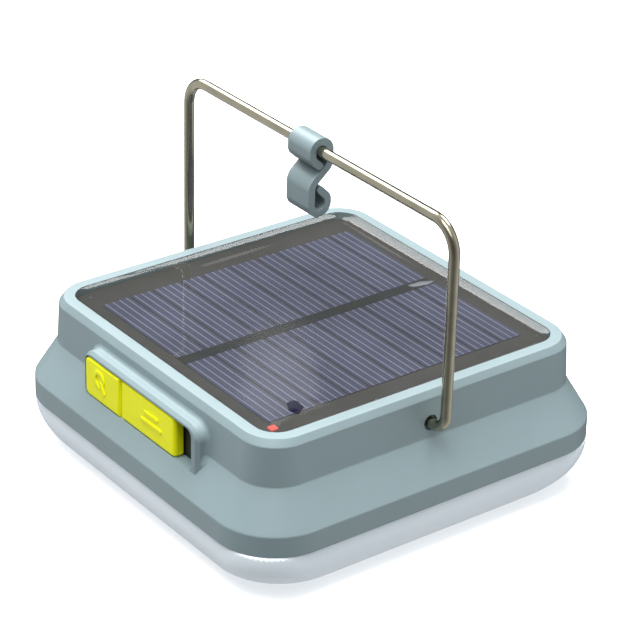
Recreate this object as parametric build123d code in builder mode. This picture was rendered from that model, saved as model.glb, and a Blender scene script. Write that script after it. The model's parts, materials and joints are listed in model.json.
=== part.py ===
from build123d import *
import os
from math import cos, pi, sin

# Square solar lantern: a grey shell with a solar panel in its top, a frosted bowl below,
# a wire bail with a hanging hook, and a yellow rubber cover over the switch and the ports.
# Millimetres, +Z up. The origin is the middle of the flat foot that the lantern stands on.
# The hood with the switch and the ports faces -Y, and the bail pivots about the X direction.

# Outer shell: each level is (height, half width, corner radius) of a rounded square.
shell_foot = (16.0, 60.0, 18.2)
skirt_foot = (22.15, 59.8, 17.6)
shoulder = (32.8, 53.35, 11.4)
chamfer_foot = (44.1, 52.7, 10.6)
rim_top = (46.1, 51.5, 10.1)
shell_rounding = (
    (shell_foot, 0.5),
    (skirt_foot, 1.2),
    (shoulder, 1.2),
    (chamfer_foot, 0.8),
    (rim_top, 0.4),
)
wall = 2.0

# Panel recess in the top of the shell.
recess_half = 48.3
recess_radius = 6.6
ledge_z = 42.3
ledge_thickness = 1.2
ledge_opening_half = 44.0
ledge_opening_radius = 6.0

# Solar panel: board, dark strip, two columns of cut cells, clear cover.
board_half = 48.1
board_top_z = 43.9
cell_thickness = 0.2
cell_column_left = -39.0
cell_column_right = 39.0
strip_centre_x = -0.3
strip_width = 4.2
finger_pitch = 2.2
cell_gap = 0.6
fingers_in_cell = (3, 4, 4, 3, 4, 4, 3, 4, 3, 4)
resin_top_z = 44.75
charge_led_at = (42.2, -43.0)
charge_led_size = 2.2
charge_led_height = 0.5
small_corner = 0.3

# Diffuser bowl under the shell.
bowl_half = 59.0
bowl_radius = 14.5
foot_half = 44.7
foot_radius = 30.0
bowl_roundness = 2.33
bowl_wall = 2.0
bowl_levels = 7
shelf_half = 58.1
shelf_radius = 13.6
lip_half = 57.6
lip_radius = 15.8
lip_wall = 2.0
lip_top_z = 19.5
shelf_z = 13.6
seal_low_z = 17.0
seal_high_z = 18.4
seal_depth = 0.8
seal_half = 57.85

# Bail of round wire, its bushes and its retainers.
wire_radius = 1.5
pivot_z = 37.05
bail_leg_x = 59.0
bail_bar_z = 95.6
bail_end_x = 48.0
bail_foot_bend = 4.8
bail_top_bend = 8.0
pivot_hole_radius = 2.2
pivot_clearance = 0.05
pivot_boss_x = 50.2
pivot_boss_width = 9.0
pivot_boss_low_z = 33.05
bush_flange = 1.0
bush_flange_radius = 3.3
bush_sleeve_end_x = 52.0
retainer_radius = 3.0
retainer_thickness = 0.8
retainer_x = 48.3

# Hanging hook: a bent strip of plastic, the same along its whole width.
hook_low_x = -7.0
hook_high_x = 3.0
hook_strip = 2.1

# Hood on the -Y side, its pocket and the window behind the pocket.
hood_low_x = -26.5
hood_high_x = 28.0
hood_roof_z = 41.1
hood_floor_z = 25.4
hood_front_y = -56.6
hood_back_y = -50.2
hood_corner = 4.2
hood_front_bevel = 0.9
hood_root_low_z = 29.8
hood_root_rounding = 1.4
pocket_low_x = -25.7
pocket_high_x = 25.4
pocket_low_z = 27.4
pocket_high_z = 39.6
pocket_back_y = -51.6
pocket_corner = 2.2
window_half = 22.0
window_low_z = 28.8
window_high_z = 38.2
window_corner = 1.0
cut_past = 1.0

# Yellow rubber: button, flap and the web between them.
cover_low_z = pocket_low_z + 0.1
cover_high_z = pocket_high_z - 0.45
cover_middle_z = (cover_low_z + cover_high_z) / 2
cover_corner = 2.0
cover_rounding = 0.8
button_low_x = -25.5
button_high_x = -8.75
button_front_y = -56.65
button_back_y = -53.95
button_middle_x = (button_low_x + button_high_x) / 2
flap_low_x = -7.5
flap_high_x = 17.3
flap_front_y = -56.4
flap_back_y = -53.5
flap_end_radius = 1.2
flap_hinge_bevel = 0.4
web_low_x = -8.65
web_high_x = -7.6
web_front_y = -55.5
web_back_y = -53.1
symbol_height = 0.3
symbol_line = 1.0
symbol_radius = 2.6
symbol_centre = (-18.3, 34.6)
symbol_turn = -55.0
flap_symbol_x = 6.5
flap_bars = ((35.0, 6.3), (32.4, 9.6))

# Port plate, sockets and switch.
plate_front_y = -53.0
usb_a_x = 9.6
usb_a_width = 13.1
usb_a_height = 5.7
usb_a_length = 14.0
micro_usb_x = -2.5
micro_usb_width = 7.5
micro_usb_height = 2.6
micro_usb_length = 5.6
socket_wall = 0.3
socket_front_y = -52.4
port_margin = 0.3
plate_gap = 0.05
tongue_setback = 0.6
plunger_radius = 1.6
plunger_hole_radius = 2.1
plunger_front_y = -53.9
plunger_back_y = -48.9
switch_front_y = -49.6
switch_back_y = -45.2
switch_width = 6.0
switch_bore_depth = 1.5

# Boards, lamp and battery.
main_board_low_z = 29.0
main_board_top_z = 30.6
main_board_half_x = 34.0
main_board_low_y = -49.9
main_board_high_y = -20.0
main_post_at = ((-30.0, -46.6), (30.0, -46.6))
main_post_radius = 2.6
main_screw_radius = 0.95
main_screw_length = 7.0
main_screw_head = 1.2
lamp_board_low_z = 18.4
lamp_board_top_z = 20.0
lamp_board_half = 50.0
lamp_post_offset = 45.0
lamp_post_radius = 3.0
lamp_screw_radius = 1.15
lamp_screw_length = 12.0
lamp_screw_head = 1.4
screw_clearance = 0.3
board_corner = 6.0
pilot_clearance = 0.03
reflector_low_z = 17.6
lamp_pitch = 24.0
lamp_size = 3.0
lamp_height = 0.7
cell_radius = 9.2
cell_length = 65.0
cell_y = 14.0
cell_z = 31.2
cradle_length = 56.0
cradle_width = 22.0
cradle_top_z = 29.0
cell_rounding = 0.8


def rounded_square(height, half_width, corner_radius):
    """Rounded square, centred on the Z axis at the given height."""
    with BuildSketch(Plane.XY.offset(height)) as square:
        RectangleRounded(2 * half_width, 2 * half_width, corner_radius)
    return square.sketch


def shell_level(height):
    """Half width and corner radius of the upper band at a height."""
    share = (height - shoulder[0]) / (chamfer_foot[0] - shoulder[0])
    half_width = shoulder[1] + share * (chamfer_foot[1] - shoulder[1])
    corner_radius = shoulder[2] + share * (chamfer_foot[2] - shoulder[2])
    return half_width, corner_radius


def hood_section(section_y):
    """The hood's outline at a place along Y, round at its two upper corners."""
    with BuildSketch(Plane.XZ.offset(-section_y)) as section:
        with Locations(((hood_low_x + hood_high_x) / 2, (hood_floor_z + hood_roof_z) / 2)):
            outline = Rectangle(hood_high_x - hood_low_x, hood_roof_z - hood_floor_z)
        fillet(outline.vertices().group_by(Axis.Y)[-1], hood_corner)
    return section.sketch


def bowl_sections(inset):
    """Rounded squares from the bowl's mouth down to its foot, moved inward by inset."""
    depth = shell_foot[0] - inset
    sections = []
    for level in range(bowl_levels):
        turn = level / (bowl_levels - 1) * pi / 2
        inward = (bowl_half - foot_half) * (1 - cos(turn) ** (2 / bowl_roundness))
        down = depth * sin(turn) ** (2 / bowl_roundness)
        share = inward / (bowl_half - foot_half)
        corner_radius = bowl_radius + share * (foot_radius - bowl_radius)
        height = shell_foot[0] - down
        sections.append(rounded_square(height, bowl_half - inset - inward, corner_radius - inset))
    return sections


def save(name, part):
    """Label a finished piece and write its file."""
    part.label = name
    export_step(part, "parts/" + name + ".step")


os.makedirs("parts", exist_ok=True)

# ---------------------------------------------------------------- top housing
ledge_low_z = ledge_z - ledge_thickness
cavity_top_half, cavity_top_radius = shell_level(ledge_low_z)

with BuildPart() as top_housing:
    levels = (shell_foot, skirt_foot, shoulder, chamfer_foot, rim_top)
    loft([rounded_square(*level) for level in levels], ruled=True)
    for level, rounding in shell_rounding:
        fillet(top_housing.edges().filter_by_position(Axis.Z, level[0] - 0.01, level[0] + 0.01), rounding)

    # Hollow the shell from below, up to the ledge that carries the panel.
    cavity_levels = (
        (shell_foot[0] - cut_past, shell_foot[1], shell_foot[2]),
        skirt_foot,
        shoulder,
        (ledge_low_z, cavity_top_half, cavity_top_radius),
    )
    cavity_sections = [rounded_square(z, half - wall, radius - wall) for z, half, radius in cavity_levels]
    loft(cavity_sections, ruled=True, mode=Mode.SUBTRACT)

    # Panel recess, and the opening inside its ledge.
    recess = rounded_square(ledge_z, recess_half, recess_radius)
    extrude(recess, amount=rim_top[0] - ledge_z + cut_past, mode=Mode.SUBTRACT)
    ledge_opening = rounded_square(ledge_low_z - cut_past, ledge_opening_half, ledge_opening_radius)
    extrude(ledge_opening, amount=ledge_thickness + 2 * cut_past, mode=Mode.SUBTRACT)

    # Hood over the switch and the ports, round at its two upper corners.
    hood_bevel_y = hood_front_y + hood_front_bevel
    extrude(hood_section(hood_back_y), amount=hood_back_y - hood_bevel_y)
    extrude(hood_section(hood_bevel_y), amount=hood_front_bevel, taper=45)
    # The hood's root is a hollow corner on the band and the skirt.
    hood_root = top_housing.edges().filter_by(Axis.Y, reverse=True)
    hood_root = hood_root.filter_by_position(Axis.X, hood_low_x - 0.1, hood_high_x + 0.1)
    hood_root = hood_root.filter_by_position(Axis.Y, hood_bevel_y + 0.1, hood_back_y - wall)
    hood_root = hood_root.filter_by_position(Axis.Z, hood_root_low_z, hood_roof_z + 0.1)
    fillet(hood_root, hood_root_rounding)

    # Pocket for the rubber cover, and the window behind it.
    with BuildSketch(Plane.XZ.offset(-pocket_back_y)):
        with Locations(((pocket_low_x + pocket_high_x) / 2, (pocket_low_z + pocket_high_z) / 2)):
            RectangleRounded(pocket_high_x - pocket_low_x, pocket_high_z - pocket_low_z, pocket_corner)
    extrude(amount=pocket_back_y + shell_foot[1] + cut_past, mode=Mode.SUBTRACT)
    with BuildSketch(Plane.XZ.offset(-hood_back_y - cut_past)):
        with Locations((0, (window_low_z + window_high_z) / 2)):
            RectangleRounded(2 * window_half, window_high_z - window_low_z, window_corner)
    extrude(amount=hood_back_y - pocket_back_y + 2 * cut_past, mode=Mode.SUBTRACT)

    # Bosses inside the walls at the bail's pivot, with the hole through boss and wall.
    for side in (-1, 1):
        boss_thickness = shoulder[1] - wall / 2 - pivot_boss_x
        boss_middle = (side * (pivot_boss_x + boss_thickness / 2), 0, (pivot_boss_low_z + ledge_low_z) / 2)
        with Locations(boss_middle):
            Box(boss_thickness, pivot_boss_width, ledge_low_z - pivot_boss_low_z)
    with BuildSketch(Plane.YZ.offset(-bail_leg_x)):
        with Locations((0, pivot_z)):
            Circle(pivot_hole_radius)
    extrude(amount=2 * bail_leg_x, mode=Mode.SUBTRACT)

    # Screw posts that hang from the ledge: four for the lamp board, two for the main board.
    with BuildSketch(Plane.XY.offset(lamp_board_top_z)):
        with GridLocations(2 * lamp_post_offset, 2 * lamp_post_offset, 2, 2):
            Circle(lamp_post_radius)
    extrude(amount=ledge_low_z + ledge_thickness / 2 - lamp_board_top_z)
    with BuildSketch(Plane.XY.offset(lamp_board_top_z)):
        with GridLocations(2 * lamp_post_offset, 2 * lamp_post_offset, 2, 2):
            Circle(lamp_screw_radius + pilot_clearance)
    extrude(amount=lamp_screw_length, mode=Mode.SUBTRACT)
    with BuildSketch(Plane.XY.offset(main_board_top_z)):
        with Locations(*main_post_at):
            Circle(main_post_radius)
    extrude(amount=ledge_low_z + ledge_thickness / 2 - main_board_top_z)
    with BuildSketch(Plane.XY.offset(main_board_top_z)):
        with Locations(*main_post_at):
            Circle(main_screw_radius + pilot_clearance)
    extrude(amount=main_screw_length, mode=Mode.SUBTRACT)
save("top_housing", top_housing.part)

# ------------------------------------------------------------------- diffuser
with BuildPart() as diffuser:
    loft(bowl_sections(0))
    loft(bowl_sections(bowl_wall), mode=Mode.SUBTRACT)
    # Inner shelf and the lip that enters the shell, with a groove for the seal.
    with BuildSketch(Plane.XY.offset(shelf_z)):
        RectangleRounded(2 * shelf_half, 2 * shelf_half, shelf_radius)
        RectangleRounded(
            2 * (lip_half - lip_wall), 2 * (lip_half - lip_wall), lip_radius - lip_wall, mode=Mode.SUBTRACT
        )
    extrude(amount=shell_foot[0] - shelf_z)
    with BuildSketch(Plane.XY.offset(shell_foot[0])):
        RectangleRounded(2 * lip_half, 2 * lip_half, lip_radius)
        RectangleRounded(
            2 * (lip_half - lip_wall), 2 * (lip_half - lip_wall), lip_radius - lip_wall, mode=Mode.SUBTRACT
        )
    extrude(amount=lip_top_z - shell_foot[0])
    with BuildSketch(Plane.XY.offset(seal_low_z)):
        Rectangle(4 * lip_half, 4 * lip_half)
        RectangleRounded(
            2 * (lip_half - seal_depth), 2 * (lip_half - seal_depth), lip_radius - seal_depth, mode=Mode.SUBTRACT
        )
    extrude(amount=seal_high_z - seal_low_z, mode=Mode.SUBTRACT)
save("diffuser", diffuser.part)

with BuildPart() as seal_ring:
    with BuildSketch(Plane.XY.offset(seal_low_z)):
        RectangleRounded(2 * seal_half, 2 * seal_half, lip_radius + seal_half - lip_half)
        RectangleRounded(
            2 * (lip_half - seal_depth), 2 * (lip_half - seal_depth), lip_radius - seal_depth, mode=Mode.SUBTRACT
        )
    extrude(amount=seal_high_z - seal_low_z)
save("seal_ring", seal_ring.part)

# ---------------------------------------------------------------- solar panel
cell_lengths = [count * finger_pitch for count in fingers_in_cell]
field_length = sum(cell_lengths) + cell_gap * (len(cell_lengths) - 1)
strip_low_x = strip_centre_x - strip_width / 2
strip_high_x = strip_centre_x + strip_width / 2
cell_top_z = board_top_z + cell_thickness

with BuildPart() as panel_board:
    board_outline = rounded_square(ledge_z, board_half, recess_radius - recess_half + board_half)
    extrude(board_outline, amount=board_top_z - ledge_z)
save("panel_board", panel_board.part)

with BuildPart() as panel_strip:
    with BuildSketch(Plane.XY.offset(board_top_z)):
        with Locations((strip_centre_x, 0)):
            Rectangle(strip_width, field_length)
    extrude(amount=cell_thickness)
save("panel_strip", panel_strip.part)

for column, low_x, high_x in (
    ("left", cell_column_left, strip_low_x),
    ("right", strip_high_x, cell_column_right),
):
    cell_end_y = field_length / 2
    for number, length in enumerate(cell_lengths, start=1):
        with BuildPart() as solar_cell:
            with BuildSketch(Plane.XY.offset(board_top_z)):
                with Locations(((low_x + high_x) / 2, cell_end_y - length / 2)):
                    Rectangle(high_x - low_x, length)
            extrude(amount=cell_thickness)
        save("solar_cell_" + column + "_" + str(number), solar_cell.part)
        cell_end_y -= length + cell_gap

with BuildPart() as charge_led:
    with BuildSketch(Plane.XY.offset(board_top_z)):
        with Locations(charge_led_at):
            RectangleRounded(charge_led_size, charge_led_size, small_corner)
    extrude(amount=charge_led_height)
save("charge_led", charge_led.part)

with BuildPart() as panel_resin:
    extrude(rounded_square(cell_top_z, recess_half, recess_radius), amount=resin_top_z - cell_top_z)
    with BuildSketch(Plane.XY.offset(cell_top_z)):
        with Locations(charge_led_at):
            RectangleRounded(charge_led_size, charge_led_size, small_corner)
    extrude(amount=board_top_z + charge_led_height - cell_top_z, mode=Mode.SUBTRACT)
save("panel_resin", panel_resin.part)

# ----------------------------------------------------------------------- bail
with BuildPart() as bail:
    with BuildLine(Plane.XZ) as wire_path:
        FilletPolyline(
            (-bail_end_x, pivot_z),
            (-bail_leg_x, pivot_z),
            (-bail_leg_x, bail_bar_z),
            (bail_leg_x, bail_bar_z),
            (bail_leg_x, pivot_z),
            (bail_end_x, pivot_z),
            radius=[bail_foot_bend, bail_top_bend, bail_top_bend, bail_foot_bend],
        )
    with BuildSketch(Plane(origin=wire_path.line @ 0, z_dir=wire_path.line % 0)):
        Circle(wire_radius)
    sweep()
save("bail", bail.part)

for side_name, side in (("left", -1), ("right", 1)):
    with BuildPart() as bail_bush:
        with BuildSketch(Plane.YZ.offset(side * pivot_boss_x)):
            with Locations((0, pivot_z)):
                Circle(bush_flange_radius)
                Circle(wire_radius + pivot_clearance, mode=Mode.SUBTRACT)
        extrude(amount=-side * bush_flange)
        with BuildSketch(Plane.YZ.offset(side * pivot_boss_x)):
            with Locations((0, pivot_z)):
                Circle(pivot_hole_radius)
                Circle(wire_radius + pivot_clearance, mode=Mode.SUBTRACT)
        extrude(amount=side * (bush_sleeve_end_x - pivot_boss_x))
    save("bail_bush_" + side_name, bail_bush.part)

    with BuildPart() as bail_retainer:
        with BuildSketch(Plane.YZ.offset(side * retainer_x)):
            with Locations((0, pivot_z)):
                Circle(retainer_radius)
                Circle(wire_radius, mode=Mode.SUBTRACT)
        extrude(amount=side * retainer_thickness)
    save("bail_retainer_" + side_name, bail_retainer.part)

# ----------------------------------------------------------------------- hook
# One bent strip, drawn across the bail's bar: it clips round the bar with its mouth low on the
# -Y side, crosses over in a slanted neck, and ends in a lower loop that nearly closes.
with BuildPart() as hook:
    with BuildSketch(Plane.YZ.offset(hook_low_x)):
        with BuildLine() as strip_path:
            FilletPolyline(
                (-0.3, bail_bar_z - 4.3),
                (-2.6, bail_bar_z - 2.2),
                (-2.6, bail_bar_z + 2.62),
                (3.1, bail_bar_z + 2.62),
                (3.1, bail_bar_z - 4.6),
                (-2.75, bail_bar_z - 9.6),
                (-2.75, bail_bar_z - 18.0),
                (2.65, bail_bar_z - 18.0),
                (2.65, bail_bar_z - 13.9),
                (0.2, bail_bar_z - 11.35),
                radius=[2.2, 2.55, 2.9, 3.0, 3.5, 2.6, 2.6, 1.8],
            )
        trace(strip_path.line, line_width=hook_strip)
        with Locations(strip_path.line @ 0, strip_path.line @ 1):
            Circle(hook_strip / 2)
    extrude(amount=hook_high_x - hook_low_x)
save("hook", hook.part)

# --------------------------------------------------------------- rubber cover
with BuildPart() as power_button:
    with BuildSketch(Plane.XZ.offset(-button_back_y)):
        with Locations((button_middle_x, cover_middle_z)):
            button_outline = Rectangle(button_high_x - button_low_x, cover_high_z - cover_low_z)
        fillet(button_outline.vertices().group_by(Axis.X)[0], cover_corner)
    extrude(amount=button_back_y - button_front_y)
    fillet(power_button.faces().sort_by(Axis.Y)[0].edges(), cover_rounding)
    # Raised symbol: an open ring with a bar through its gap.
    with BuildSketch(Plane.XZ.offset(-button_front_y)):
        with Locations(symbol_centre):
            Circle(symbol_radius)
            Circle(symbol_radius - symbol_line, mode=Mode.SUBTRACT)
            with Locations(Location((0, 0), symbol_turn)):
                with Locations((symbol_radius, 0)):
                    Rectangle(2 * symbol_radius, 3 * symbol_line, mode=Mode.SUBTRACT)
                    Rectangle(1.4 * symbol_radius, symbol_line)
    extrude(amount=symbol_height)
save("power_button", power_button.part)

with BuildPart() as usb_cover:
    with BuildSketch(Plane.XY.offset(cover_low_z)):
        with Locations(((flap_low_x + flap_high_x) / 2, (flap_front_y + flap_back_y) / 2)):
            flap_outline = Rectangle(flap_high_x - flap_low_x, flap_back_y - flap_front_y)
        fillet(flap_outline.vertices().group_by(Axis.X)[-1].sort_by(Axis.Y)[0], flap_end_radius)
        chamfer(flap_outline.vertices().group_by(Axis.X)[0].sort_by(Axis.Y)[0], flap_hinge_bevel)
    extrude(amount=cover_high_z - cover_low_z)
    long_edges = usb_cover.edges().filter_by(Axis.X).group_by(Axis.Y)[0]
    fillet(long_edges, cover_rounding)
    # Raised symbol: a short bar over a long one.
    with BuildSketch(Plane.XZ.offset(-flap_front_y)):
        for bar_z, bar_length in flap_bars:
            with Locations((flap_symbol_x, bar_z)):
                SlotOverall(bar_length, symbol_line)
    extrude(amount=symbol_height)
save("usb_cover", usb_cover.part)

with BuildPart() as hinge_web:
    with BuildSketch(Plane.XZ.offset(-web_back_y)):
        with Locations(((web_low_x + web_high_x) / 2, cover_middle_z)):
            Rectangle(web_high_x - web_low_x, cover_high_z - cover_low_z)
    extrude(amount=web_back_y - web_front_y)
save("hinge_web", hinge_web.part)

# ------------------------------------------------------ port plate and sockets
socket_base_z = main_board_top_z

with BuildPart() as port_plate:
    with BuildSketch(Plane.XZ.offset(-pocket_back_y)):
        with Locations(((pocket_low_x + pocket_high_x) / 2, (pocket_low_z + pocket_high_z) / 2)):
            plate_width = pocket_high_x - pocket_low_x - 2 * plate_gap
            plate_height = pocket_high_z - pocket_low_z - 2 * plate_gap
            RectangleRounded(plate_width, plate_height, pocket_corner)
        with Locations((button_middle_x, cover_middle_z)):
            Circle(plunger_hole_radius, mode=Mode.SUBTRACT)
        with Locations((usb_a_x, socket_base_z + usb_a_height / 2)):
            Rectangle(usb_a_width + 2 * port_margin, usb_a_height + 2 * port_margin, mode=Mode.SUBTRACT)
        with Locations((micro_usb_x, socket_base_z + micro_usb_height / 2)):
            Rectangle(
                micro_usb_width + 2 * port_margin, micro_usb_height + 2 * port_margin, mode=Mode.SUBTRACT
            )
    extrude(amount=pocket_back_y - plate_front_y)
save("port_plate", port_plate.part)

for socket_name, socket_x, width, height, length in (
    ("usb_a", usb_a_x, usb_a_width, usb_a_height, usb_a_length),
    ("micro_usb", micro_usb_x, micro_usb_width, micro_usb_height, micro_usb_length),
):
    middle_z = socket_base_z + height / 2
    with BuildPart() as socket_shell:
        with BuildSketch(Plane.XZ.offset(-socket_front_y)):
            with Locations((socket_x, middle_z)):
                RectangleRounded(width, height, 2 * socket_wall)
        extrude(amount=-length)
        with BuildSketch(Plane.XZ.offset(-socket_front_y)):
            with Locations((socket_x, middle_z)):
                RectangleRounded(width - 2 * socket_wall, height - 2 * socket_wall, socket_wall)
        extrude(amount=socket_wall - length, mode=Mode.SUBTRACT)
    save(socket_name + "_shell", socket_shell.part)

    tongue_length = length - 2 * socket_wall - tongue_setback
    with BuildPart() as socket_tongue:
        with BuildSketch(Plane.XZ.offset(-socket_front_y - tongue_setback)):
            with Locations((socket_x, middle_z + height / 8)):
                Rectangle(width - 8 * socket_wall, height / 4)
        extrude(amount=-tongue_length)
    save(socket_name + "_tongue", socket_tongue.part)

with BuildPart() as switch_body:
    with BuildSketch(Plane.XZ.offset(-switch_back_y)):
        with Locations((button_middle_x, (socket_base_z + cover_middle_z + switch_width / 2) / 2)):
            Rectangle(switch_width, cover_middle_z + switch_width / 2 - socket_base_z)
    extrude(amount=switch_back_y - switch_front_y)
    with BuildSketch(Plane.XZ.offset(-switch_front_y)):
        with Locations((button_middle_x, cover_middle_z)):
            Circle(plunger_radius + pivot_clearance)
    extrude(amount=-switch_bore_depth, mode=Mode.SUBTRACT)
save("switch_body", switch_body.part)

with BuildPart() as switch_plunger:
    with BuildSketch(Plane.XZ.offset(-plunger_back_y)):
        with Locations((button_middle_x, cover_middle_z)):
            Circle(plunger_radius)
    extrude(amount=plunger_back_y - plunger_front_y)
save("switch_plunger", switch_plunger.part)

# ------------------------------------------------------------ boards and lamp
with BuildPart() as main_board:
    with BuildSketch(Plane.XY.offset(main_board_low_z)):
        with Locations((0, (main_board_low_y + main_board_high_y) / 2)):
            Rectangle(2 * main_board_half_x, main_board_high_y - main_board_low_y)
        with Locations(*main_post_at):
            Circle(main_screw_radius + screw_clearance, mode=Mode.SUBTRACT)
    extrude(amount=main_board_top_z - main_board_low_z)
save("main_board", main_board.part)

with BuildPart() as lamp_board:
    with BuildSketch(Plane.XY.offset(lamp_board_low_z)):
        RectangleRounded(2 * lamp_board_half, 2 * lamp_board_half, board_corner)
        with GridLocations(2 * lamp_post_offset, 2 * lamp_post_offset, 2, 2):
            Circle(lamp_screw_radius + screw_clearance, mode=Mode.SUBTRACT)
    extrude(amount=lamp_board_top_z - lamp_board_low_z)
save("lamp_board", lamp_board.part)

with BuildPart() as lamp_leds:
    with BuildSketch(Plane.XY.offset(lamp_board_low_z)):
        with GridLocations(lamp_pitch, lamp_pitch, 4, 4):
            RectangleRounded(lamp_size, lamp_size, small_corner)
    extrude(amount=-lamp_height)
save("lamp_leds", lamp_leds.part)

with BuildPart() as reflector:
    with BuildSketch(Plane.XY.offset(reflector_low_z)):
        RectangleRounded(2 * lamp_board_half, 2 * lamp_board_half, board_corner)
        with GridLocations(lamp_pitch, lamp_pitch, 4, 4):
            Circle(lamp_size, mode=Mode.SUBTRACT)
        with GridLocations(2 * lamp_post_offset, 2 * lamp_post_offset, 2, 2):
            Circle(lamp_screw_radius + screw_clearance, mode=Mode.SUBTRACT)
    extrude(amount=lamp_board_low_z - reflector_low_z)
save("reflector", reflector.part)

with BuildPart() as lamp_screws:
    with BuildSketch(Plane.XY.offset(reflector_low_z)):
        with GridLocations(2 * lamp_post_offset, 2 * lamp_post_offset, 2, 2):
            Circle(2 * lamp_screw_radius)
    extrude(amount=-lamp_screw_head)
    with BuildSketch(Plane.XY.offset(reflector_low_z)):
        with GridLocations(2 * lamp_post_offset, 2 * lamp_post_offset, 2, 2):
            Circle(lamp_screw_radius)
    extrude(amount=lamp_screw_length)
save("lamp_screws", lamp_screws.part)

with BuildPart() as main_board_screws:
    with BuildSketch(Plane.XY.offset(main_board_low_z)):
        with Locations(*main_post_at):
            Circle(2 * main_screw_radius)
    extrude(amount=-main_screw_head)
    with BuildSketch(Plane.XY.offset(main_board_low_z)):
        with Locations(*main_post_at):
            Circle(main_screw_radius)
    extrude(amount=main_screw_length)
save("main_board_screws", main_board_screws.part)

# -------------------------------------------------------------------- battery
with BuildPart() as battery_cell:
    with BuildSketch(Plane.YZ.offset(-cell_length / 2)):
        with Locations((cell_y, cell_z)):
            Circle(cell_radius)
    extrude(amount=cell_length)
    fillet(battery_cell.edges().filter_by(GeomType.CIRCLE), cell_rounding)
save("battery_cell", battery_cell.part)

with BuildPart() as battery_cradle:
    with BuildSketch(Plane.YZ.offset(-cradle_length / 2)):
        with Locations((cell_y, (lamp_board_top_z + cradle_top_z) / 2)):
            Rectangle(cradle_width, cradle_top_z - lamp_board_top_z)
        with Locations((cell_y, cell_z)):
            Circle(cell_radius + pilot_clearance, mode=Mode.SUBTRACT)
    extrude(amount=cradle_length)
save("battery_cradle", battery_cradle.part)
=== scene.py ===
import bmesh
import bpy
import json
from math import atan2, cos, exp, pi, radians, sin
from mathutils import Matrix, Vector


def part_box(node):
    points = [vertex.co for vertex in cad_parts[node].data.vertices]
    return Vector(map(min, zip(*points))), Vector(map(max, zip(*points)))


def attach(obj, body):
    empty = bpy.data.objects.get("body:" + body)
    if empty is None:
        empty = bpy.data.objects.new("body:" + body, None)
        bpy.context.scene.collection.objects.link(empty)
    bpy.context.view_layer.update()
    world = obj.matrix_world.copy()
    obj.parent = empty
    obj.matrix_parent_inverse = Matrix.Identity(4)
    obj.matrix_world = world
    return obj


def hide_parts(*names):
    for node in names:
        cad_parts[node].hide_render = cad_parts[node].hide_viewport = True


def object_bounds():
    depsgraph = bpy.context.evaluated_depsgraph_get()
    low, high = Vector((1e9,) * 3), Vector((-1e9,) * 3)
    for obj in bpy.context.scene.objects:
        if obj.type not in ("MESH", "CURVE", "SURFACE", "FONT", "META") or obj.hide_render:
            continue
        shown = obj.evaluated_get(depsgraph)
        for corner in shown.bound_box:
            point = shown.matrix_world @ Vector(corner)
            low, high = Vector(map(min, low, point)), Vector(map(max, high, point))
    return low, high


# Looks of a square solar lantern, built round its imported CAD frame. Metres, +Z up.
MM = 0.001

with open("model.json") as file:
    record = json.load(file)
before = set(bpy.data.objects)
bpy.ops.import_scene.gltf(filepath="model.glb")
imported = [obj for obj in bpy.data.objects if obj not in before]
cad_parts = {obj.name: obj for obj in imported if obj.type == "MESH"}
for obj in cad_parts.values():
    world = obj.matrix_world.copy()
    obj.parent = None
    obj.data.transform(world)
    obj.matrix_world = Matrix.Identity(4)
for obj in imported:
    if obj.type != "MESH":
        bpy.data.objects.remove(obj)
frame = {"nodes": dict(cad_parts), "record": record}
nodes = frame["nodes"]
cad_low, cad_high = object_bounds()


# ------------------------------------------------------------------ node helpers
def new_material(name):
    """An empty material with its output, and the node tree it is built in."""
    material = bpy.data.materials.new(name)
    material.use_nodes = True
    tree = material.node_tree
    tree.nodes.clear()
    output = tree.nodes.new("ShaderNodeOutputMaterial")
    return material, tree, output


def add_node(tree, kind, settings=None, **inputs):
    """A node with its attributes from settings and its sockets set by value or by link."""
    node = tree.nodes.new(kind)
    for key, value in (settings or {}).items():
        setattr(node, key, value)
    for key, value in inputs.items():
        socket = node.inputs[key.replace("_", " ")]
        if isinstance(value, bpy.types.NodeSocket):
            tree.links.new(value, socket)
        else:
            socket.default_value = value
    return node


def noise(tree, size, detail=2.0, stretch=(1.0, 1.0, 1.0)):
    """Noise whose blobs are about size metres, in the object's own coordinates."""
    place = add_node(tree, "ShaderNodeTexCoord")
    mapping = add_node(tree, "ShaderNodeMapping", Vector=place.outputs["Object"], Scale=stretch)
    return add_node(
        tree, "ShaderNodeTexNoise", Vector=mapping.outputs["Vector"], Scale=1.0 / size, Detail=detail
    )


def ramp(tree, value, stops):
    """Colour ramp with (position, colour) stops."""
    node = add_node(tree, "ShaderNodeValToRGB", Fac=value)
    elements = node.color_ramp.elements
    elements[0].position, elements[0].color = stops[0][0], (*stops[0][1], 1.0)
    elements[1].position, elements[1].color = stops[-1][0], (*stops[-1][1], 1.0)
    for position, color in stops[1:-1]:
        elements.new(position).color = (*color, 1.0)
    return node.outputs["Color"]


def span(tree, value, low, high):
    """A 0 to 1 value spread over low to high."""
    node = add_node(tree, "ShaderNodeMapRange", Value=value, To_Min=low, To_Max=high)
    return node.outputs["Result"]


def shade(color, factor):
    """The colour made lighter or darker."""
    return tuple(min(1.0, channel * factor) for channel in color)


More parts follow.
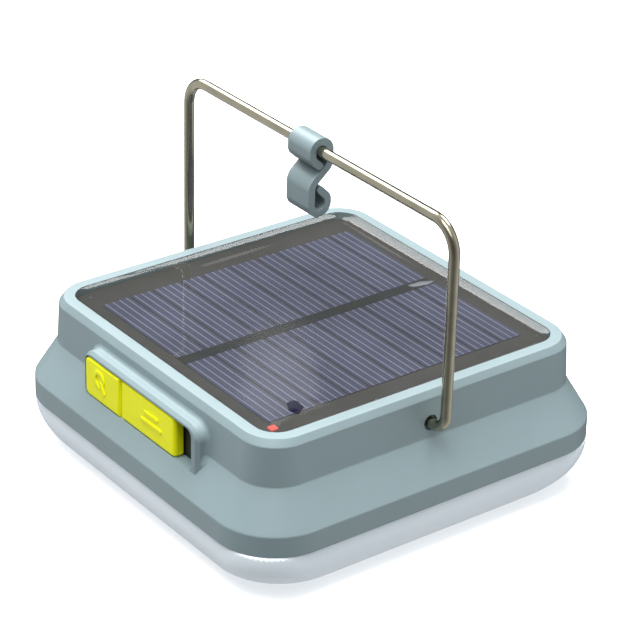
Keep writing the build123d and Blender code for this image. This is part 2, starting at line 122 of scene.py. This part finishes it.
def moulded(name, color, roughness, grain=0.25 * MM, depth=0.02 * MM, spread=0.04, **shader):
    """Moulded plastic or rubber: fine grain, a cloudy tone and uneven gloss."""
    material, tree, output = new_material(name)
    cloud = noise(tree, 18 * MM, detail=3.0).outputs["Fac"]
    speck = noise(tree, grain).outputs["Fac"]
    tone = ramp(tree, cloud, [(0.3, shade(color, 1 - spread)), (0.7, shade(color, 1 + spread))])
    bump = add_node(tree, "ShaderNodeBump", Height=speck, Strength=0.5, Distance=depth)
    gloss = span(tree, speck, roughness * 0.85, roughness * 1.15)
    surface = add_node(
        tree, "ShaderNodeBsdfPrincipled", Base_Color=tone, Roughness=gloss, Normal=bump.outputs["Normal"]
    )
    for key, value in shader.items():
        surface.inputs[key.replace("_", " ")].default_value = value
    tree.links.new(surface.outputs[0], output.inputs[0])
    return material


def metal(name, color, roughness, stretch):
    """Drawn or plated metal with fine streaks along its length."""
    material, tree, output = new_material(name)
    streak = noise(tree, 0.6 * MM, detail=3.0, stretch=stretch).outputs["Fac"]
    cloud = noise(tree, 6 * MM).outputs["Fac"]
    tone = ramp(tree, cloud, [(0.3, shade(color, 0.9)), (0.7, shade(color, 1.06))])
    bump = add_node(tree, "ShaderNodeBump", Height=streak, Strength=0.25, Distance=0.01 * MM)
    surface = add_node(
        tree,
        "ShaderNodeBsdfPrincipled",
        Base_Color=tone,
        Metallic=1.0,
        Roughness=span(tree, streak, roughness * 0.8, roughness * 1.3),
        Normal=bump.outputs["Normal"],
    )
    tree.links.new(surface.outputs[0], output.inputs[0])
    return material


def clear_cover(name):
    """Cast clear resin: what lies under it shows through, and its surface is glossy."""
    material, tree, output = new_material(name)
    waves = noise(tree, 22 * MM, detail=1.0).outputs["Fac"]
    bump = add_node(tree, "ShaderNodeBump", Height=waves, Strength=0.35, Distance=0.12 * MM)
    through = add_node(tree, "ShaderNodeBsdfTransparent", Color=(0.97, 0.965, 0.95, 1.0))
    gloss = add_node(
        tree,
        "ShaderNodeBsdfGlossy",
        Color=(1.0, 1.0, 1.0, 1.0),
        Roughness=0.06,
        Normal=bump.outputs["Normal"],
    )
    fresnel = add_node(tree, "ShaderNodeFresnel", IOR=1.45, Normal=bump.outputs["Normal"])
    mixed = add_node(tree, "ShaderNodeMixShader", Fac=fresnel.outputs[0])
    tree.links.new(through.outputs[0], mixed.inputs[1])
    tree.links.new(gloss.outputs[0], mixed.inputs[2])
    tree.links.new(mixed.outputs[0], output.inputs[0])
    return material


def clear_body(name):
    """The hidden sides and underside of the resin, which pass light straight through."""
    material, tree, output = new_material(name)
    cloud = noise(tree, 15 * MM, detail=1.0).outputs["Fac"]
    tone = ramp(tree, cloud, [(0.0, (0.98, 0.98, 0.97)), (1.0, (1.0, 1.0, 1.0))])
    through = add_node(tree, "ShaderNodeBsdfTransparent", Color=tone)
    tree.links.new(through.outputs[0], output.inputs[0])
    return material


# --------------------------------------------------------------------- materials
# The cells, the strip and the board are cast into the resin, so they have hardly any gloss
# of their own: what shines there is the resin's surface.
EMBEDDED_GLOSS = 0.1
GREY = (0.212, 0.286, 0.303)
HOOK_GREY = (0.188, 0.254, 0.268)
YELLOW = (0.93, 0.935, 0.002)

materials = {
    "shell_plastic": moulded("shell_plastic", GREY, 0.5, spread=0.025, Specular_IOR_Level=0.9),
    "hook_plastic": moulded("hook_plastic", HOOK_GREY, 0.42, spread=0.03, Specular_IOR_Level=0.9),
    # It glows a little, in place of the light that scatters about inside the real diffuser.
    "frosted_plastic": moulded(
        "frosted_plastic",
        (0.82, 0.90, 0.96),
        0.38,
        grain=0.5 * MM,
        spread=0.03,
        Emission_Color=(0.80, 0.90, 1.0, 1.0),
        Emission_Strength=0.13,
        Subsurface_Weight=0.35,
        Subsurface_Radius=(0.004, 0.004, 0.005),
    ),
    "seal_rubber": moulded("seal_rubber", (0.03, 0.03, 0.03), 0.7),
    "yellow_rubber": moulded(
        "yellow_rubber",
        YELLOW,
        0.42,
        grain=0.35 * MM,
        spread=0.03,
        Subsurface_Weight=0.1,
        Subsurface_Radius=(0.001, 0.001, 0.0002),
        Specular_IOR_Level=0.25,
    ),
    "silicon_cell": moulded(
        "silicon_cell",
        (0.064, 0.070, 0.104),
        0.35,
        grain=0.8 * MM,
        spread=0.12,
        Specular_IOR_Level=EMBEDDED_GLOSS,
    ),
    "dark_strip": moulded(
        "dark_strip",
        (0.036, 0.039, 0.040),
        0.5,
        grain=0.6 * MM,
        spread=0.15,
        Specular_IOR_Level=EMBEDDED_GLOSS,
    ),
    "panel_laminate": moulded(
        "panel_laminate",
        (0.060, 0.060, 0.058),
        0.55,
        grain=0.5 * MM,
        spread=0.1,
        Specular_IOR_Level=EMBEDDED_GLOSS,
    ),
    "red_led": moulded(
        "red_led",
        (0.45, 0.07, 0.06),
        0.25,
        Emission_Color=(1.0, 0.22, 0.2, 1.0),
        Emission_Strength=0.42,
    ),
    "bail_wire": metal("bail_wire", (0.43, 0.40, 0.30), 0.16, (1.0, 1.0, 0.08)),
    "black_plastic": moulded("black_plastic", (0.012, 0.013, 0.015), 0.45),
    "socket_steel": metal("socket_steel", (0.72, 0.72, 0.72), 0.25, (1.0, 0.1, 1.0)),
    "screw_steel": metal("screw_steel", (0.6, 0.6, 0.58), 0.3, (1.0, 1.0, 0.2)),
    "white_board": moulded("white_board", (0.85, 0.85, 0.82), 0.4),
    "white_plastic": moulded("white_plastic", (0.9, 0.9, 0.9), 0.35),
    "lamp_phosphor": moulded("lamp_phosphor", (0.9, 0.75, 0.2), 0.5),
    "green_board": moulded("green_board", (0.01, 0.14, 0.05), 0.35),
    "cell_wrap": moulded("cell_wrap", (0.03, 0.16, 0.45), 0.3),
    "solder": moulded("solder", (0.15, 0.155, 0.18), 0.5, grain=0.4 * MM, depth=0.05 * MM, spread=0.2),
    # Painted reflection: colour for a flat dark patch on the cells that stands for the camera mirrored
    # in the glossy resin.
    "painted_reflection_dark": moulded("painted_reflection_dark", (0.004, 0.004, 0.022), 0.4, Specular_IOR_Level=0.0),
    "clear_resin": clear_cover("clear_resin"),
    "resin_body": clear_body("resin_body"),
    "finger_silver": moulded(
        "finger_silver", (0.17, 0.18, 0.24), 0.45, grain=0.3 * MM, spread=0.1, Specular_IOR_Level=0.2
    ),
}


# --------------------------------------------------------------- carried-over CAD
def soften(node, width):
    """Smooth shading on a CAD node, with its sharp edges rounded by width, or left where it is 0."""
    mesh = node.data
    for polygon in mesh.polygons:
        polygon.use_smooth = True
    normals = mesh.attributes.get("custom_normal")
    if normals:
        mesh.attributes.remove(normals)
    weld = node.modifiers.new("weld", "WELD")
    weld.merge_threshold = 0.002 * MM
    if width:
        bevel = node.modifiers.new("bevel", "BEVEL")
        bevel.width = width
        bevel.segments = 3
        bevel.limit_method = "ANGLE"
        bevel.angle_limit = radians(30)
        bevel.use_clamp_overlap = True
    weighted = node.modifiers.new("weighted_normals", "WEIGHTED_NORMAL")
    weighted.keep_sharp = True
    weighted.weight = 60


small_edge = 0.05 * MM
edge_rounding = {
    "top_housing": 0.3 * MM,
    "hook": 0.35 * MM,
    "power_button": 0.22 * MM,
    "usb_cover": 0.22 * MM,
    "diffuser": 0.0,
    "bail": 0.0,
}
slots = {part["node"]: part["material_slot"] for part in frame["record"]["subparts"]}
for name, node in nodes.items():
    node.data.materials.clear()
    node.data.materials.append(materials[slots[name]])
    soften(node, edge_rounding.get(name, small_edge))


# ------------------------------------------------------------------ mesh helpers
def new_piece(name, mesh_data, material):
    """Puts a finished bmesh in the scene with its material, riding on the lantern's body."""
    mesh = bpy.data.meshes.new(name)
    mesh_data.to_mesh(mesh)
    mesh_data.free()
    piece = bpy.data.objects.new(name, mesh)
    bpy.context.scene.collection.objects.link(piece)
    piece.data.materials.append(materials[material])
    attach(piece, "body")
    return piece


def rounded_loop(half_width, corner_radius, steps=10):
    """Points of a rounded square, anticlockwise, with the same count for any size."""
    points = []
    for quarter in range(4):
        for step in range(steps + 1):
            turn = (quarter + step / steps) * pi / 2
            corner = Vector((cos(turn), sin(turn))) * corner_radius
            sign_x = 1 if quarter in (0, 3) else -1
            sign_y = 1 if quarter in (0, 1) else -1
            centre = Vector((sign_x, sign_y)) * (half_width - corner_radius)
            points.append(centre + corner)
    return points


def skin_rings(mesh_data, rings):
    """Quads between each ring of vertices and the next, with the first and last rings closed."""
    for lower, upper in zip(rings, rings[1:]):
        for index in range(len(lower)):
            after = (index + 1) % len(lower)
            mesh_data.faces.new((lower[index], lower[after], upper[after], upper[index]))
    mesh_data.faces.new(rings[-1])
    mesh_data.faces.new(rings[0][::-1])


# ------------------------------------------------------------------ panel's cover
def resin_surface():
    """The clear cover, level in the middle, and drawn up unevenly where it meets the rim."""
    low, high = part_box("panel_resin")
    wall_gap = 0.02 * MM
    board_gap = 0.03 * MM
    half_width = high.x - wall_gap
    corner_radius = 6.6 * MM
    least_radius = 2.0 * MM
    # The surface climbs at the rim by about climb. That dies away inwards over a fade that is
    # longest near two opposite corners.
    climb = 1.3 * MM
    fade = 2.4 * MM
    unevenness = 0.4
    uneven_turn = -0.35
    reach = 9.0 * MM
    profile_steps = 14
    crowding_at_rim = 1.5
    least_upward_normal = 0.3
    mesh_data = bmesh.new()
    under = [
        mesh_data.verts.new((point.x, point.y, low.z + board_gap))
        for point in rounded_loop(half_width, corner_radius)
    ]
    rings = [under]
    for step in range(profile_steps + 1):
        inset = reach * (step / profile_steps) ** crowding_at_rim
        ring = []
        for point in rounded_loop(half_width - inset, max(corner_radius - inset, least_radius)):
            spread = fade * (1 + unevenness * sin(2 * atan2(point.y, point.x) + uneven_turn))
            height = high.z + climb * (exp(-inset / spread) - exp(-reach / spread))
            ring.append(mesh_data.verts.new((point.x, point.y, height)))
        rings.append(ring)
    skin_rings(mesh_data, rings)
    bmesh.ops.recalc_face_normals(mesh_data, faces=mesh_data.faces)
    for face in mesh_data.faces:
        is_top = face.normal.z > least_upward_normal
        face.smooth = is_top
        face.material_index = 0 if is_top else 1
    piece = new_piece("resin_cover", mesh_data, "clear_resin")
    piece.data.materials.append(materials["resin_body"])
    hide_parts("panel_resin")


resin_surface()


# ----------------------------------------------------------------- cells' fingers
def cell_fingers(column):
    """Printed silver fingers on one column of cells: thin strips along X."""
    pitch = 2.2 * MM
    width = 0.36 * MM
    height = 0.02 * MM
    mesh_data = bmesh.new()
    for name in sorted(nodes):
        if not name.startswith("solar_cell_" + column):
            continue
        low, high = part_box(name)
        count = round((high.y - low.y) / pitch)
        for index in range(count):
            middle = low.y + (index + 0.5) * (high.y - low.y) / count
            corners = [
                (x, middle + side * width / 2, z)
                for z in (high.z, high.z + height)
                for x, side in ((low.x, -1), (high.x, -1), (high.x, 1), (low.x, 1))
            ]
            verts = [mesh_data.verts.new(corner) for corner in corners]
            skin_rings(mesh_data, [verts[:4], verts[4:]])
    piece = new_piece("fingers_" + column, mesh_data, "finger_silver")


for column in ("left", "right"):
    cell_fingers(column)


# ---------------------------------------------------------- marks under the resin
panel_low, panel_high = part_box("panel_resin")
strip_low, strip_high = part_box("panel_strip")
cell_top = strip_high.z


def blot(name, middle, length, width, height, turn, material):
    """A low smooth drop of solder on the cells, with a slightly uneven outline; made flat, it also
    serves as a painted dark reflection.
    """
    sides = 28
    oval, oval_turn, ripple = 0.12, 0.7, 0.07
    levels = (0.0, 0.35, 0.7, 0.95)
    mesh_data = bmesh.new()
    rings = []
    for level in levels:
        shrink = cos(level * pi / 2)
        ring = []
        for side in range(sides):
            angle = 2 * pi * side / sides
            uneven = 1 + oval * sin(2 * angle + oval_turn) + ripple * sin(5 * angle)
            along = length / 2 * cos(angle) * uneven * shrink
            across = width / 2 * sin(angle) * uneven * shrink
            x = middle[0] + along * cos(turn) - across * sin(turn)
            y = middle[1] + along * sin(turn) + across * cos(turn)
            ring.append(mesh_data.verts.new((x, y, cell_top + height * sin(level * pi / 2))))
        rings.append(ring)
    skin_rings(mesh_data, rings)
    for face in mesh_data.faces:
        face.smooth = True
    piece = new_piece(name, mesh_data, material)


blot(
    "strip_solder",
    middle=((strip_low.x + strip_high.x) / 2 + 0.4 * MM, strip_high.y - 3.6 * MM),
    length=7.6 * MM,
    width=2.7 * MM,
    height=0.35 * MM,
    turn=radians(75),
    material="solder",
)
# Painted reflection: the camera mirrored in the glossy resin, laid on the cells as a flat dark patch
# drawn out along the line of view.
blot(
    "painted_camera_reflection",
    middle=(panel_high.x - 11.9 * MM, panel_low.y + 16.5 * MM),
    length=6.2 * MM,
    width=4.4 * MM,
    height=0.08 * MM,
    turn=radians(-37),
    material="painted_reflection_dark",
)


# ------------------------------------------------------------------ stage, lights
def floor():
    """Plain pale floor just under the lantern. It glows a little, so the shadow on it is faint,
    and it neither throws light up at the lantern nor is mirrored in it."""
    floor_size = 30.0
    floor_gap = 0.02 * MM
    bpy.ops.mesh.primitive_plane_add(size=floor_size, location=(0, 0, cad_low.z - floor_gap))
    plane = bpy.context.object
    plane.name = "floor"
    material, tree, output = new_material("floor")
    cloud = noise(tree, 0.5).outputs["Fac"]
    tone = ramp(tree, cloud, [(0.0, (0.92, 0.92, 0.92)), (1.0, (0.95, 0.95, 0.95))])
    surface = add_node(tree, "ShaderNodeBsdfPrincipled", Base_Color=tone, Roughness=0.9)
    surface.inputs["Emission Color"].default_value = (1.0, 1.0, 1.0, 1.0)
    surface.inputs["Emission Strength"].default_value = 0.35
    tree.links.new(surface.outputs[0], output.inputs[0])
    plane.data.materials.append(material)
    plane.visible_diffuse = False
    plane.visible_glossy = False


def area_light(name, place, target, size, power):
    """A square soft white light at place that looks at target."""
    data = bpy.data.lights.new(name, "AREA")
    data.shape = "SQUARE"
    data.size = size
    data.energy = power
    light = bpy.data.objects.new(name, data)
    light.location = place
    light.rotation_euler = (Vector(target) - Vector(place)).to_track_quat("-Z", "Y").to_euler()
    bpy.context.scene.collection.objects.link(light)
    return light


def reflector(name, place, size, power):
    """A round panel that only reflections see, turned to the lantern."""
    light = area_light(name, place, target=(0, 0, 0.04), size=size, power=power)
    light.data.shape = "DISK"
    light.visible_diffuse = False


def studio():
    """A pale room, dim behind the lantern and on the side that the camera is on."""
    world = bpy.data.worlds.new("studio")
    world.use_nodes = True
    tree = world.node_tree
    background = tree.nodes["Background"]
    background.inputs["Color"].default_value = (0.96, 0.98, 1.0, 1.0)
    # Brightness at shares of the way from the far side, 0, past the sides, 0.5, to the near side, 1.
    levels = [(0.0, 0.1), (0.12, 0.12), (0.3, 0.8), (0.5, 0.8), (1.0, 0.12)]
    near_side = (0.66, -0.751, 0.0)
    direction = add_node(tree, "ShaderNodeTexCoord").outputs["Generated"]
    facing = add_node(tree, "ShaderNodeVectorMath", {"operation": "DOT_PRODUCT"})
    tree.links.new(direction, facing.inputs[0])
    facing.inputs[1].default_value = near_side
    share = add_node(
        tree, "ShaderNodeMapRange", Value=facing.outputs["Value"], From_Min=-1.0, From_Max=1.0
    )
    brightness = ramp(tree, share.outputs["Result"], [(place, (level,) * 3) for place, level in levels])
    tree.links.new(brightness, background.inputs["Strength"])
    bpy.context.scene.world = world


floor()

# The overhead light isn't mirrored: in the view from above it would wash the panel out.
overhead = area_light("overhead", place=(0.0, -0.1, 1.6), target=(0, 0, 0), size=1.3, power=44.0)
overhead.visible_glossy = False
body_middle = (0, 0, 0.03)
area_light("front_fill", place=(0.25, -0.85, 1.7), target=body_middle, size=0.9, power=11.0)
area_light("corner_fill", place=(0.75, -0.6, 1.25), target=body_middle, size=0.8, power=3.5)

# The first two show in the raised edge of the resin and in the bail, and the window is the
# pale patch on the panel.
reflector("left_reflector", place=(-1.4, 0.2, 1.36), size=1.35, power=26.0)
reflector("back_reflector", place=(-0.2, 1.15, 1.62), size=1.2, power=26.0)
reflector("window", place=(-1.381, 1.007, 1.019), size=0.07, power=0.009)
studio()
bpy.context.scene.view_settings.view_transform = "Standard"


# ------------------------------------------------------------------------ camera
def camera():
    """The photograph's view: the camera's place, the azimuth and elevation it looks from, its roll."""
    azimuth, elevation, roll = radians(52.78), radians(27.61), radians(1.45)
    place = Vector((0.5033, -0.3809, 0.3759))
    back = Vector((sin(azimuth) * cos(elevation), -cos(azimuth) * cos(elevation), sin(elevation)))
    right = (-back).cross(Vector((0, 0, 1))).normalized()
    up = back.cross(right)
    turned_right = cos(roll) * right + sin(roll) * up
    turned_up = cos(roll) * up - sin(roll) * right
    data = bpy.data.cameras.new("camera")
    data.lens = 149.2
    data.sensor_width = 36.0
    eye = bpy.data.objects.new("camera", data)
    axes = Matrix((turned_right, turned_up, back)).transposed().to_4x4()
    eye.matrix_world = Matrix.Translation(place) @ axes
    bpy.context.scene.collection.objects.link(eye)
    bpy.context.scene.camera = eye


camera()
